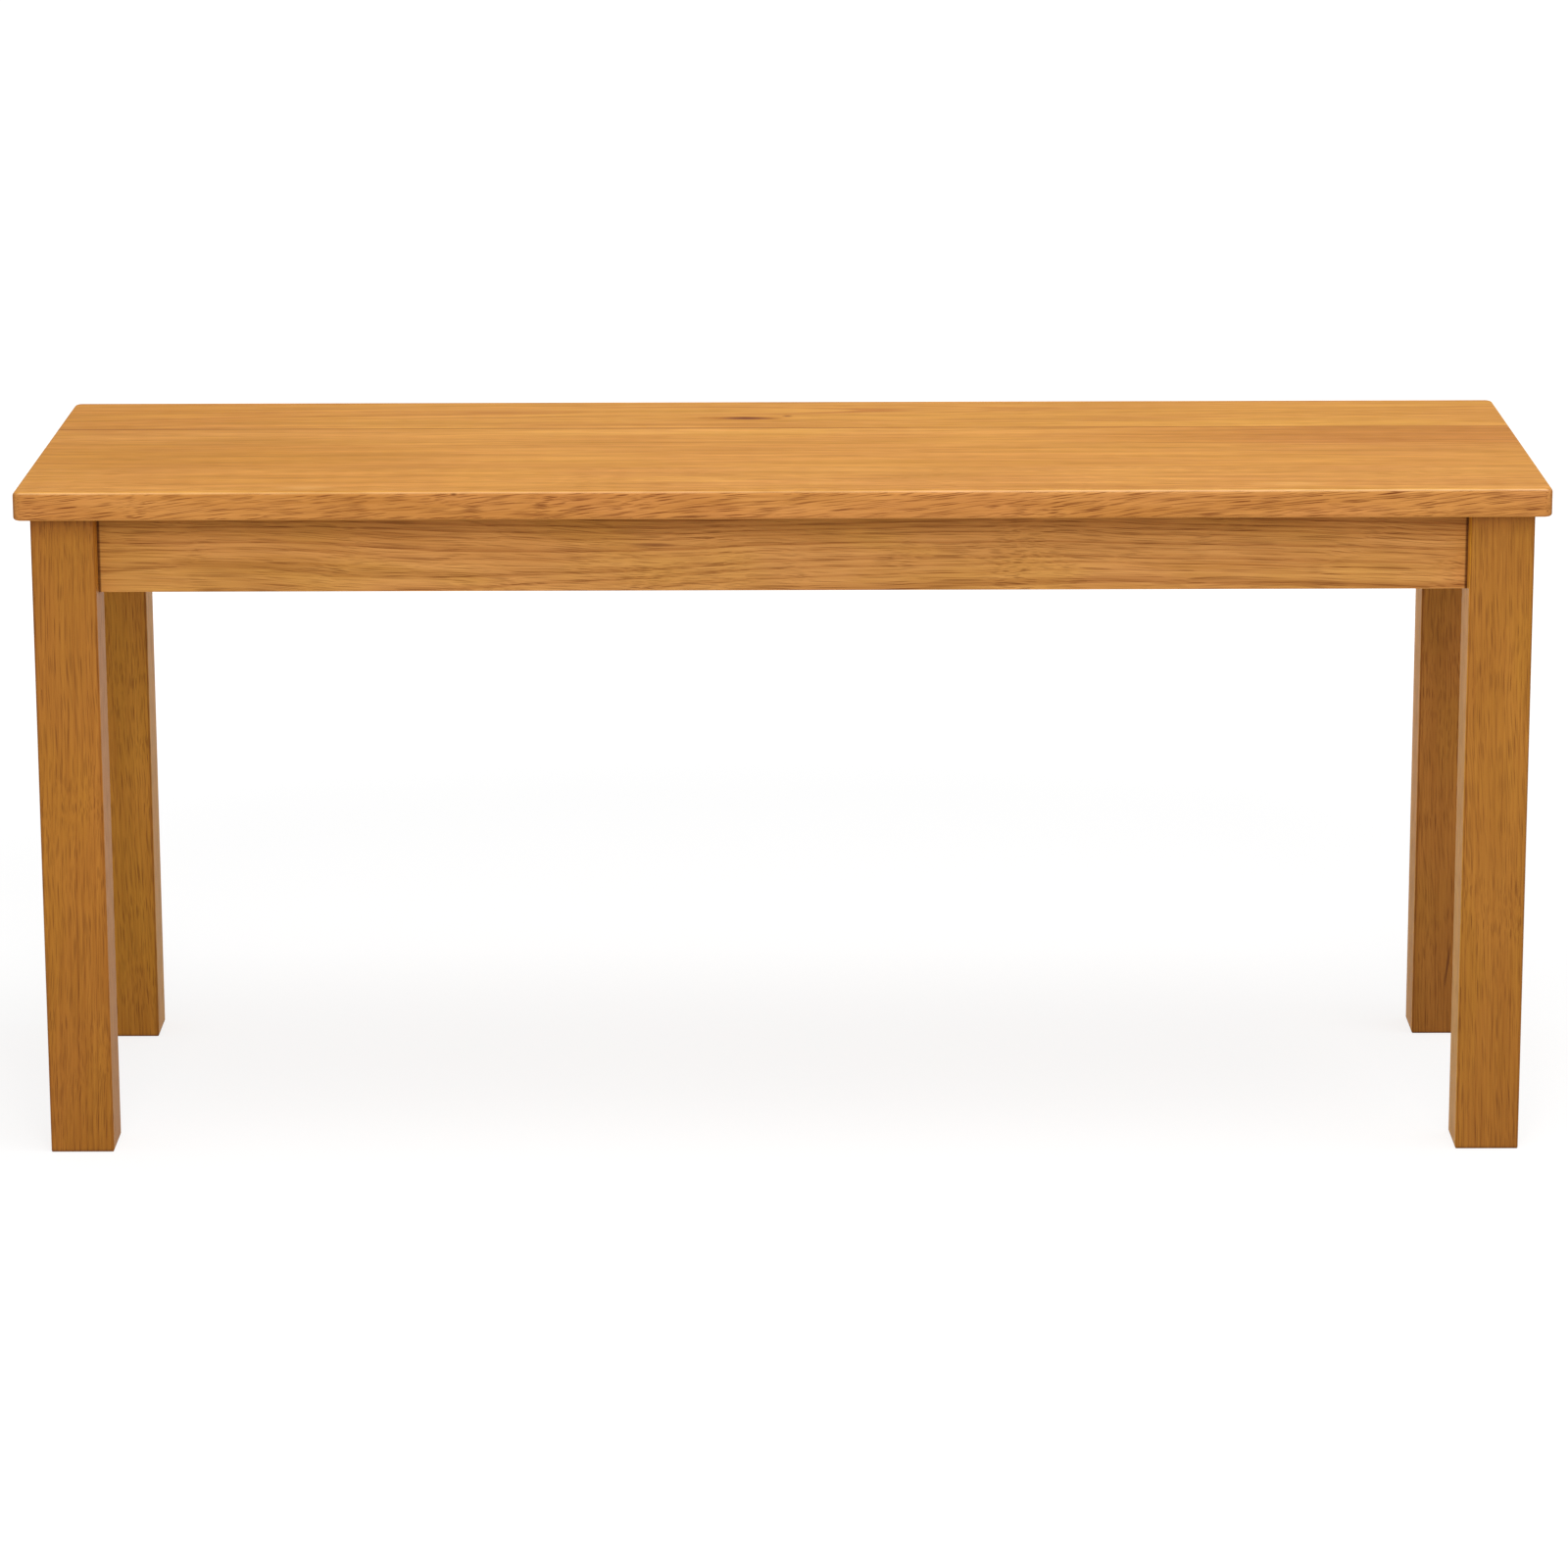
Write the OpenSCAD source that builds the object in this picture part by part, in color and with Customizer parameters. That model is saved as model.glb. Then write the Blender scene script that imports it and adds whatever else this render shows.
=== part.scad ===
// Solid oak dining bench: a four-board seat on four square legs, joined by four aprons.
// X runs along the bench, the front faces -Y, and Z = 0 is the floor under the middle of the seat.
// The apron tenons are haunched and mitred, and meet in pairs inside each leg.

/* [Bench] */
// Overall length, along X
bench_length = 1000; // [700:10:1500]
// Overall depth, front to back
bench_depth = 340; // [320:5:450]
// Height of the seat's top above the floor
bench_height = 450; // [380:5:520]

/* [Seat] */
// Thickness of the seat boards
seat_thick = 19; // [16:0.5:30]
// How far the seat stands past the legs at each end
end_overhang = 10; // [0:1:40]
// How far the seat stands past the legs at the front and the back
side_overhang = 10; // [0:1:25]
// Radius of the seat's corners in plan
seat_corner_r = 6; // [4:0.5:20]
// Radius of the arris round the seat's top
seat_top_r = 3; // [0.5:0.5:4]
// Radius of the arris round the seat's underside
seat_under_r = 2; // [0.5:0.5:4]
// Thickness of the tongue between two seat boards
seat_tongue_thick = 6; // [4:0.5:8]
// How far a tongue reaches into the next board
seat_tongue_reach = 6; // [3:0.5:10]
// Distance from the seat's end to where the tongues stop
seat_tongue_stop = 30; // [15:1:80]

/* [Legs] */
// Side of the square leg
leg_side = 42; // [38:1:60]
// Radius of the legs' long arrises
leg_arris_r = 2; // [0.5:0.5:4]
// Radius of the arris round the foot of each leg
foot_arris_r = 1.5; // [0.5:0.5:4]

/* [Aprons] */
// Height of the aprons
apron_height = 52; // [46:1:100]
// Thickness of the aprons
apron_thick = 20; // [18:0.5:24]
// How far the aprons' outer faces lie behind the legs' outer faces
apron_recess = 14; // [4:0.5:17]
// Radius of the aprons' lower arrises
apron_arris_r = 1; // [0.5:0.5:3]

/* [Apron tenons] */
// Thickness of the tenons
tenon_thick = 10; // [6:0.5:14]
// Shoulder left under each tenon
tenon_foot = 6; // [3:0.5:10]
// Height of the haunch above each tenon
haunch_height = 12; // [6:0.5:18]
// Room left between the two mitred tenon ends, measured along a tenon
mitre_gap = 0.6; // [0.2:0.1:1.5]

/* [Centre rail] */
// Height of the centre rail
rail_height = 40; // [30:1:44]
// Thickness of the centre rail
rail_thick = 22; // [18:1:30]
// Radius of the rail's lower arrises
rail_arris_r = 2; // [0.5:0.5:4]
// How far the rail's stub tenons enter the aprons
stub_reach = 8; // [4:0.5:12]
// Shoulder left all round each stub tenon
stub_shoulder = 5; // [2:0.5:7]
// Wood left under the seat for a rail screw to clamp
rail_grip = 18; // [10:1:26]
// Distance of each rail screw from the middle of the rail
rail_screw_out = 30; // [15:1:60]

/* [Corner blocks] */
// Length of a block along each apron
block_length = 62; // [50:1:75]
// Height of a block
block_height = 36; // [20:1:44]
// Gap between a block and the seat
block_drop = 4; // [1:0.5:8]
// Thickness of a block's blunt ends
block_end = 12; // [6:0.5:20]
// Distance from a block's blunt end to the screw beside it
block_screw_inset = 16; // [12:1:20]
// Wood left for a block screw to clamp
block_grip = 18; // [12:1:22]

/* [Turn buttons] */
// Width of a button, along its apron
button_width = 28; // [20:1:36]
// Length of a button without its tongue
button_length = 34; // [26:1:44]
// Radius of a button's free corners
button_corner_r = 3; // [1:0.5:8]
// Thickness of a button's tongue
button_tongue_thick = 7; // [5:0.5:9]
// Length of a button's tongue
button_tongue_length = 9; // [6:0.5:12]
// Room between a button and its apron, for the seat's movement
button_gap = 1.5; // [0.5:0.1:3]
// Wood left above a button's slot in the apron
slot_drop = 12; // [8:0.5:16]
// Room round a button's tongue in its slot
slot_play = 1; // [0.5:0.1:2]

/* [Wood screws] */
// Radius of the screws' shanks
screw_r = 2; // [1.5:0.1:2.5]
// Radius of the screws' countersunk heads
screw_head_r = 4; // [3:0.1:5]
// Height of the heads, rim included
screw_head_height = 2.8; // [2:0.1:4]
// Height of the straight rim of the heads
screw_rim = 0.5; // [0.2:0.1:1]
// Length of the screws' points
screw_point = 5; // [3:0.5:8]
// Radius left at the tip of a point
screw_tip_r = 0.4; // [0.2:0.1:1]
// Radius of the counterbores that sink the screw heads
counterbore_r = 5.5; // [5.2:0.1:7]

/* [Fits] */
// Room round a glued tongue or tenon
glue_gap = 0.1; // [0.05:0.05:0.3]
// Room between a corner block and its leg
block_clear = 0.3; // [0.1:0.1:1]
// Room round a screw in its hole
screw_clear = 0.1; // [0.05:0.05:0.3]

/* [Hidden] */
$fn = 64;
// Depths of the seat boards, front to back, as shares of the seat's depth
board_shares = [0.25, 0.25, 0.18, 0.32];
// Places of the buttons along the long aprons, as shares of the way from the middle to a corner block
button_shares = [-0.82, -0.32, 0.32, 0.82];
// Place of the end buttons, as a share of the way from the middle to a corner block at the front
end_button_share = -0.6;
// Share of the wood between a tenon and the leg's inner corner that the haunch enters
haunch_share = 0.6;
// Share of a board's thickness that a screw bites into
bite_share = 0.6;
// How far every cut runs past the face that it opens
overrun = 1;

front = -1;
rear = 1;
left = -1;
right = 1;

frame_length = bench_length - 2 * end_overhang;
frame_depth = bench_depth - 2 * side_overhang;
leg_length = bench_height - seat_thick;
apron_foot = leg_length - apron_height;
apron_inner = apron_recess + apron_thick;
long_clear = frame_length - 2 * leg_side;
short_clear = frame_depth - 2 * leg_side;
rail_clear = frame_depth - 2 * apron_inner;

tenon_near = apron_recess + (apron_thick - tenon_thick) / 2;
tenon_far = tenon_near + tenon_thick;
tenon_bottom = apron_foot + tenon_foot;
tenon_top = leg_length - haunch_height;
haunch_reach = haunch_share * (leg_side - tenon_far);

stub_thick = rail_thick - 2 * stub_shoulder;
stub_height = rail_height - 2 * stub_shoulder;

button_thick = slot_drop + button_tongue_thick;
button_near = apron_inner + button_gap;
button_screw_in = button_near + button_length / 2;
long_button_way = frame_length / 2 - apron_inner - block_length - button_width / 2;
short_button_way = frame_depth / 2 - apron_inner - block_length - button_width / 2;
button_xs = [for (share = button_shares) share * long_button_way];
end_button_x = end_button_share * short_button_way;

seat_bite = seat_thick * bite_share;
apron_bite = apron_thick * bite_share;
block_middle = leg_length - block_drop - block_height / 2;
block_screw_out = block_length - block_screw_inset;

oak_top = "#d8a058";
oak_frame = "#b4803f";
beech = "#cfa878";
zinc = "#b9bcc0";

// Sum of the first shares of a list
function sum_to(shares, count) = count == 0 ? 0 : shares[count - 1] + sum_to(shares, count - 1);

// Y of the joint in front of a board, counted from 0 at the front
function joint_y(board) = bench_depth * (sum_to(board_shares, board) - 1 / 2);

// What rounds one corner of a flat outline that lies in the first quadrant
module corner_cut(r) {
    difference() {
        translate([-overrun, -overrun]) square(r + overrun);
        translate([r, r]) circle(r);
    }
}

// Upright section of a board centred on Y, standing on X, with its two lower corners eased
module eased_section(width, height, r) {
    difference() {
        translate([-width / 2, 0]) square([width, height]);
        for (flip = [0, 1]) {
            mirror([flip, 0]) translate([-width / 2, 0]) corner_cut(r);
        }
    }
}

// The seat's section over a given distance from its edge, which faces +X
module seat_edge_section(width) {
    difference() {
        square([width, seat_thick]);
        translate([width, 0]) mirror([1, 0]) corner_cut(seat_under_r);
        translate([width, seat_thick]) mirror([1, 0]) mirror([0, 1]) corner_cut(seat_top_r);
    }
}

// The seat's section from end to end, run forwards from Y = 0
module seat_run(depth) {
    rotate([90, 0, 0]) {
        linear_extrude(depth) {
            seat_edge_section(bench_length / 2);
            mirror([1, 0]) seat_edge_section(bench_length / 2);
        }
    }
}

// A board along one long side of the seat, whose outer edge faces +Y at Y = 0
module seat_side_blank(depth) {
    straight = bench_length / 2 - seat_corner_r;
    translate([0, -seat_corner_r, 0]) seat_run(depth - seat_corner_r);
    translate([-straight, -seat_corner_r, 0]) {
        rotate([90, 0, 90]) linear_extrude(2 * straight) seat_edge_section(seat_corner_r);
    }
    for (flip = [0, 1]) {
        mirror([flip, 0, 0]) {
            translate([straight, -seat_corner_r, 0]) {
                rotate_extrude(angle = 90) seat_edge_section(seat_corner_r);
            }
        }
    }
}

// A stopped tongue that reaches forwards from Y = 0, or the groove for it with room all round
module seat_tongue(room, root) {
    half = bench_length / 2 - seat_tongue_stop + room;
    thick = seat_tongue_thick + 2 * room;
    reach = seat_tongue_reach + room;
    translate([-half, -reach, (seat_thick - thick) / 2]) cube([2 * half, reach + root, thick]);
}

// One of the four seat boards, counted from 0 at the front
module seat_board(board) {
    last = len(board_shares) - 1;
    depth = joint_y(board + 1) - joint_y(board);
    color(oak_top) {
        difference() {
            translate([0, 0, leg_length]) {
                difference() {
                    union() {
                        if (board == 0) {
                            translate([0, joint_y(board), 0]) mirror([0, 1, 0]) seat_side_blank(depth);
                        } else if (board == last) {
                            translate([0, joint_y(board + 1), 0]) seat_side_blank(depth);
                        } else {
                            translate([0, joint_y(board + 1), 0]) seat_run(depth);
                        }
                        if (board > 0) {
                            translate([0, joint_y(board), 0]) seat_tongue(0, seat_tongue_reach);
                        }
                    }
                    if (board < last) {
                        translate([0, joint_y(board + 1), 0]) seat_tongue(glue_gap, overrun);
                    }
                }
            }
            at_button_screws() screw_cut(button_thick + seat_bite);
            at_rail_screws() screw_cut(rail_grip + seat_bite);
        }
    }
}

// Puts a corner's pieces, drawn from the leg's outer corner inwards, at one corner of the frame
module in_corner(x_side, y_side) {
    translate([x_side * frame_length / 2, y_side * frame_depth / 2, 0]) {
        mirror([x_side == right ? 1 : 0, 0, 0]) mirror([0, y_side == rear ? 1 : 0, 0]) children();
    }
}

// Put a side's pieces, drawn along X with Y = 0 on the frame's outer face, at one side of the frame
module at_front() {
    translate([0, -frame_depth / 2, 0]) children();
}

module at_rear() {
    mirror([0, 1, 0]) at_front() children();
}

module at_left() {
    translate([-frame_length / 2, 0, 0]) mirror([1, -1, 0]) children();
}

module at_right() {
    mirror([1, 0, 0]) at_left() children();
}

// Plan of a tenon that leaves its shoulder at X = 0, with the mitre that faces its neighbour
module tenon_plan() {
    polygon([
        [-overrun, tenon_near],
        [leg_side - tenon_near - mitre_gap, tenon_near],
        [leg_side - tenon_far - mitre_gap, tenon_far],
        [-overrun, tenon_far]
    ]);
}

// A haunched, mitred tenon on the end of an apron, leaving its shoulder at X = 0
module tenon() {
    translate([0, 0, tenon_bottom]) linear_extrude(tenon_top - tenon_bottom) tenon_plan();
    translate([-overrun, tenon_near, tenon_top - overrun]) {
        cube([haunch_reach + overrun, tenon_thick, haunch_height + overrun]);
    }
}

// The mortise for an apron that runs along X, cut in a leg drawn from its outer corner
module mortise() {
    near = tenon_near - glue_gap;
    wide = tenon_thick + 2 * glue_gap;
    deep = leg_side - near;
    translate([near, near, tenon_bottom - glue_gap]) {
        cube([deep + overrun, wide, tenon_top - tenon_bottom + 2 * glue_gap]);
    }
    translate([leg_side - haunch_reach - glue_gap, near, tenon_top]) {
        cube([haunch_reach + glue_gap + overrun, wide, haunch_height + overrun]);
    }
}

// One leg, eased on its long arrises and round its foot, with two mortises that meet inside it
module leg(x_side, y_side) {
    color(oak_frame) {
        in_corner(x_side, y_side) {
            difference() {
                intersection() {
                    linear_extrude(leg_length) {
                        intersection() {
                            translate([leg_side / 2, 0]) eased_section(leg_side, leg_side, leg_arris_r);
                            translate([leg_side / 2, leg_side]) {
                                mirror([0, 1]) eased_section(leg_side, leg_side, leg_arris_r);
                            }
                        }
                    }
                    translate([0, leg_side / 2, 0]) {
                        rotate([90, 0, 90]) {
                            linear_extrude(leg_side) eased_section(leg_side, leg_length, foot_arris_r);
                        }
                    }
                    translate([leg_side / 2, leg_side, 0]) {
                        rotate([90, 0, 0]) {
                            linear_extrude(leg_side) eased_section(leg_side, leg_length, foot_arris_r);
                        }
                    }
                }
                mortise();
                mirror([1, -1, 0]) mortise();
            }
        }
    }
}

// An apron that runs along X between two legs, with its buttons' slots
module apron_blank(clear_length, slot_xs) {
    difference() {
        union() {
            translate([-clear_length / 2, apron_recess + apron_thick / 2, apron_foot]) {
                rotate([90, 0, 90]) {
                    linear_extrude(clear_length) eased_section(apron_thick, apron_height, apron_arris_r);
                }
            }
            for (flip = [0, 1]) {
                mirror([flip, 0, 0]) translate([clear_length / 2, 0, 0]) tenon();
            }
        }
        for (x = slot_xs) {
            translate([x, 0, 0]) button_slot();
        }
    }
}

// The slot in an apron's inner face for a button's tongue
module button_slot() {
    wide = button_width + 2 * slot_play;
    deep = button_tongue_length - button_gap + slot_play;
    high = button_tongue_thick + slot_play;
    translate([-wide / 2, apron_inner - deep, leg_length - slot_drop - high]) {
        cube([wide, deep + overrun, high]);
    }
}

// An apron along the front or the back, with the centre rail's mortise
module long_apron(y_side) {
    color(oak_frame) {
        difference() {
            mirror([0, y_side == rear ? 1 : 0, 0]) {
                at_front() {
                    difference() {
                        apron_blank(long_clear, button_xs);
                        rail_stub(glue_gap);
                    }
                }
            }
            at_block_screws() screw_cut(block_grip + apron_bite);
        }
    }
}

// An apron along one end
module short_apron(x_side) {
    color(oak_frame) {
        difference() {
            mirror([x_side == right ? 1 : 0, 0, 0]) at_left() apron_blank(short_clear, [end_button_x]);
            at_block_screws() screw_cut(block_grip + apron_bite);
        }
    }
}

// The rail's stub tenon into a long apron, or the mortise for it with room all round
module rail_stub(room) {
    wide = stub_thick + 2 * room;
    deep = stub_reach + room;
    high = stub_height + 2 * room;
    translate([-wide / 2, apron_inner - deep, leg_length - rail_height + stub_shoulder - room]) {
        cube([wide, deep + overrun, high]);
    }
}

// The rail that ties the long aprons together and is screwed up into the seat's middle
module centre_rail() {
    color(oak_frame) {
        difference() {
            union() {
                translate([0, rail_clear / 2, leg_length - rail_height]) {
                    rotate([90, 0, 0]) {
                        linear_extrude(rail_clear) eased_section(rail_thick, rail_height, rail_arris_r);
                    }
                }
                at_front() rail_stub(0);
                at_rear() rail_stub(0);
            }
            at_rail_screws() {
                screw_cut(rail_grip + seat_bite);
                translate([0, 0, -rail_height]) cylinder(h = rail_height, r = counterbore_r);
            }
        }
    }
}

// Plan of a corner block, from the corner between two aprons, notched round the leg
module block_plan() {
    notch = leg_side + block_clear - apron_inner;
    polygon([
        [notch, 0],
        [block_length, 0],
        [block_length, block_end],
        [block_end, block_length],
        [0, block_length],
        [0, notch],
        [notch, notch]
    ]);
}

// One glued and screwed block behind a leg
module corner_block(x_side, y_side) {
    color(beech) {
        difference() {
            in_corner(x_side, y_side) {
                translate([apron_inner, apron_inner, block_middle - block_height / 2]) {
                    linear_extrude(block_height) block_plan();
                }
            }
            at_block_screws() {
                screw_cut(block_grip + apron_bite);
                translate([0, 0, -block_length]) cylinder(h = block_length, r = counterbore_r);
            }
        }
    }
}

// A turn button under the seat, drawn for the front apron: its tongue lies in the apron's slot
module turn_button() {
    color(beech) {
        difference() {
            union() {
                translate([0, button_near + button_length, leg_length - button_thick]) {
                    linear_extrude(button_thick) {
                        mirror([0, 1]) eased_section(button_width, button_length, button_corner_r);
                    }
                }
                translate([-button_width / 2, button_near - button_tongue_length, leg_length - button_thick]) {
                    cube([button_width, button_tongue_length + overrun, button_tongue_thick]);
                }
            }
            translate([0, button_screw_in, leg_length - button_thick]) screw_cut(button_thick + seat_bite);
        }
    }
}

// Put a screw, drawn from its head's face towards +Z, at each place of its kind
module at_button_screws() {
    for (x = button_xs) {
        at_front() translate([x, button_screw_in, leg_length - button_thick]) children();
        at_rear() translate([x, button_screw_in, leg_length - button_thick]) children();
    }
    at_left() translate([end_button_x, button_screw_in, leg_length - button_thick]) children();
    at_right() translate([end_button_x, button_screw_in, leg_length - button_thick]) children();
}

module at_rail_screws() {
    for (y = [-rail_screw_out, rail_screw_out]) {
        translate([0, y, leg_length - rail_grip]) children();
    }
}

module at_block_screws() {
    for (x_side = [left, right], y_side = [front, rear]) {
        in_corner(x_side, y_side) {
            translate([apron_inner + block_screw_out, apron_inner + block_grip, block_middle]) {
                rotate([90, 0, 0]) children();
            }
            translate([apron_inner + block_grip, apron_inner + block_screw_out, block_middle]) {
                rotate([0, -90, 0]) children();
            }
        }
    }
}

// A countersunk wood screw
module wood_screw(length) {
    color(zinc) {
        rotate_extrude() {
            polygon([
                [0, 0],
                [screw_head_r, 0],
                [screw_head_r, screw_rim],
                [screw_r, screw_head_height],
                [screw_r, length - screw_point],
                [screw_tip_r, length],
                [0, length]
            ]);
        }
    }
}

// The countersunk hole for a wood screw, with room all round
module screw_cut(length) {
    rotate_extrude() {
        polygon([
            [0, -overrun],
            [screw_head_r + screw_clear, -overrun],
            [screw_head_r + screw_clear, screw_rim],
            [screw_r + screw_clear, screw_head_height],
            [screw_r + screw_clear, length + screw_clear],
            [0, length + screw_clear]
        ]);
    }
}

seat_board(0);  // seat_board_front
seat_board(1);  // seat_board_front_inner
seat_board(2);  // seat_board_rear_inner
seat_board(3);  // seat_board_rear
leg(left, front);  // leg_front_left
leg(right, front);  // leg_front_right
leg(left, rear);  // leg_rear_left
leg(right, rear);  // leg_rear_right
long_apron(front);  // apron_front
long_apron(rear);  // apron_rear
short_apron(left);  // apron_left
short_apron(right);  // apron_right
centre_rail();
corner_block(left, front);  // corner_block_front_left
corner_block(right, front);  // corner_block_front_right
corner_block(left, rear);  // corner_block_rear_left
corner_block(right, rear);  // corner_block_rear_right
at_front() translate([button_xs[0], 0, 0]) turn_button();  // button_front_1
at_front() translate([button_xs[1], 0, 0]) turn_button();  // button_front_2
at_front() translate([button_xs[2], 0, 0]) turn_button();  // button_front_3
at_front() translate([button_xs[3], 0, 0]) turn_button();  // button_front_4
at_rear() translate([button_xs[0], 0, 0]) turn_button();  // button_rear_1
at_rear() translate([button_xs[1], 0, 0]) turn_button();  // button_rear_2
at_rear() translate([button_xs[2], 0, 0]) turn_button();  // button_rear_3
at_rear() translate([button_xs[3], 0, 0]) turn_button();  // button_rear_4
at_left() translate([end_button_x, 0, 0]) turn_button();  // button_left
at_right() translate([end_button_x, 0, 0]) turn_button();  // button_right
at_button_screws() wood_screw(button_thick + seat_bite);  // button_screws
at_rail_screws() wood_screw(rail_grip + seat_bite);  // rail_screws
at_block_screws() wood_screw(block_grip + apron_bite);  // block_screws
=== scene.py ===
# Dining bench in satin-lacquered oak: the finish of every piece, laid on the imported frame
import math

import bmesh
import bpy
import numpy as np
from mathutils import Matrix, Vector


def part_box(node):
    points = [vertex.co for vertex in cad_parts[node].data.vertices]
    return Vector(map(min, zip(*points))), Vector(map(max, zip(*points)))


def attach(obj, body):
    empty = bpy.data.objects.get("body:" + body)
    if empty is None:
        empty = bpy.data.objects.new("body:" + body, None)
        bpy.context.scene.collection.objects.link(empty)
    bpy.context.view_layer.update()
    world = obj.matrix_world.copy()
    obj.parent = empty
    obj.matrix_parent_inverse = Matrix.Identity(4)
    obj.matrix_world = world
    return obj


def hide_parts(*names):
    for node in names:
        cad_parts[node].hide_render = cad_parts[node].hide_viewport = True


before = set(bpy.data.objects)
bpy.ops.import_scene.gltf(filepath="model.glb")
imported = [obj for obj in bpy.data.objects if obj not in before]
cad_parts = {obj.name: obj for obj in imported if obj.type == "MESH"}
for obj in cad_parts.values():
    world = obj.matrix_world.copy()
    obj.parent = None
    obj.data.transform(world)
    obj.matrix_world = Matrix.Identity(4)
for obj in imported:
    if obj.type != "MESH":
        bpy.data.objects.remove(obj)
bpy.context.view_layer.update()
mm = 0.001
print("frame loaded:", len(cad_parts), "nodes")


# Small helpers that build node trees, for shaders and for geometry alike

def feed(tree, socket, value):
    if isinstance(value, bpy.types.NodeSocket):
        tree.links.new(value, socket)
    else:
        socket.default_value = value


def addNode(tree, kind, sockets=None, **settings):
    node = tree.nodes.new(kind)
    for name, value in settings.items():
        setattr(node, name, value)
    for key, value in (sockets or {}).items():
        feed(tree, node.inputs[key], value)
    return node


def fillNode(tree, kind, values, **settings):
    # like addNode, but the values go to the sockets in their order
    node = addNode(tree, kind, **settings)
    for socket, value in zip(node.inputs, values):
        feed(tree, socket, value)
    return node.outputs


def reckon(tree, operation, *values, clamp=False):
    return fillNode(tree, "ShaderNodeMath", values, operation=operation, use_clamp=clamp)[0]


def times(tree, first, second, clamp=False):
    return reckon(tree, "MULTIPLY", first, second, clamp=clamp)


def minus(tree, first, second):
    return reckon(tree, "SUBTRACT", first, second)


def timesPlus(tree, first, second, third):
    return reckon(tree, "MULTIPLY_ADD", first, second, third)


def vectorMath(tree, operation, *values, result="Vector"):
    return fillNode(tree, "ShaderNodeVectorMath", values, operation=operation)[result]


def lengthOf(tree, vector):
    return vectorMath(tree, "LENGTH", vector, result="Value")


def scaleVector(tree, vector, factor):
    sockets = {"Vector": vector, "Scale": factor}
    return addNode(tree, "ShaderNodeVectorMath", sockets, operation="SCALE").outputs[0]


def joinVector(tree, x, y, z):
    return addNode(tree, "ShaderNodeCombineXYZ", {"X": x, "Y": y, "Z": z}).outputs[0]


def splitVector(tree, vector):
    return addNode(tree, "ShaderNodeSeparateXYZ", {"Vector": vector}).outputs


def smoothStep(tree, value, low, high):
    sockets = {"Value": value, "From Min": low, "From Max": high}
    return addNode(tree, "ShaderNodeMapRange", sockets, interpolation_type="SMOOTHSTEP").outputs["Result"]


def mixColour(tree, factor, first, second):
    node = addNode(tree, "ShaderNodeMix", data_type="RGBA", blend_type="MIX", clamp_factor=True)
    feed(tree, node.inputs[0], factor)
    feed(tree, node.inputs[6], first)
    feed(tree, node.inputs[7], second)
    return node.outputs[2]


def tintColour(tree, factor, colour, tint):
    return mixColour(tree, factor, colour, vectorMath(tree, "MULTIPLY", colour, tint))


def noiseField(tree, place, stretch, detail=1, roughness=0.5):
    stretched = vectorMath(tree, "MULTIPLY", place, stretch)
    sockets = {"Vector": stretched, "Scale": 1, "Detail": detail, "Roughness": roughness}
    return addNode(tree, "ShaderNodeTexNoise", sockets, noise_dimensions="3D").outputs


def swayField(tree, place, stretch):
    # three noises at once, each to both sides of nothing
    return vectorMath(tree, "SUBTRACT", noiseField(tree, place, stretch)["Color"], (0.5, 0.5, 0.5))


def screenColour(red, green, blue):
    # a colour as it looks on screen, 0 to 255, in the renderer's linear values
    shares = [value / 255 for value in (red, green, blue)]
    linear = [s / 12.92 if s <= 0.04045 else ((s + 0.055) / 1.055) ** 2.4 for s in shares]
    return (*linear, 1)


def millimetres(values):
    return tuple(value * mm for value in values)


def newGroup(name, kind, inputs, outputs):
    tree = bpy.data.node_groups.new(name, kind)
    for socketName, socketType, value in inputs:
        socket = tree.interface.new_socket(name=socketName, in_out="INPUT", socket_type=socketType)
        if value is not None:
            socket.default_value = value
    for socketName, socketType in outputs:
        tree.interface.new_socket(name=socketName, in_out="OUTPUT", socket_type=socketType)
    start = tree.nodes.new("NodeGroupInput")
    end = tree.nodes.new("NodeGroupOutput")
    return tree, start.outputs, end.inputs


def newMaterial(name):
    material = bpy.data.materials.new(name)
    material.use_nodes = True
    material.node_tree.nodes.clear()
    return material, material.node_tree


def addObject(name, data):
    holder = bpy.data.objects.new(name, data)
    bpy.context.scene.collection.objects.link(holder)
    return holder


def coatSurface(tree, colour, roughness, height, relief, constants):
    # relief is the strength of the bumps and their height in millimetres
    sockets = {"Height": height, "Strength": relief[0], "Distance": relief[1] * mm}
    bump = addNode(tree, "ShaderNodeBump", sockets).outputs[0]
    sockets = {"Base Color": colour, "Roughness": roughness, "Normal": bump, **constants}
    shader = addNode(tree, "ShaderNodeBsdfPrincipled", sockets).outputs[0]
    addNode(tree, "ShaderNodeOutputMaterial", {"Surface": shader})


# Oak: growth rings round a pith, open pores along the fibres, silvery rays and broad bands of tone.
# The group works in the wood's own axes: X runs along the grain, and lengths are in metres.

# How often each pattern changes in a metre along the grain, across it and through it. The rings' swell
# changes with the way from the pith, and the rays along the grain, round the pith and away from it.
oakScales = {
    "wander": (2.3, 11, 11), "wobble": (15, 55, 55), "sway": (8, 5, 5),
    "pore": (24, 1050, 1050), "dash": (42, 800, 800), "patch": (9, 60, 60),
    "fibre": (13, 520, 520), "tone": (8, 30, 30), "swell": (130, 1, 1),
    "ray": (42, 300, 30), "ragged": (60, 700, 700), "wearAndHighlight": (24, 24, 24),
}

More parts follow.
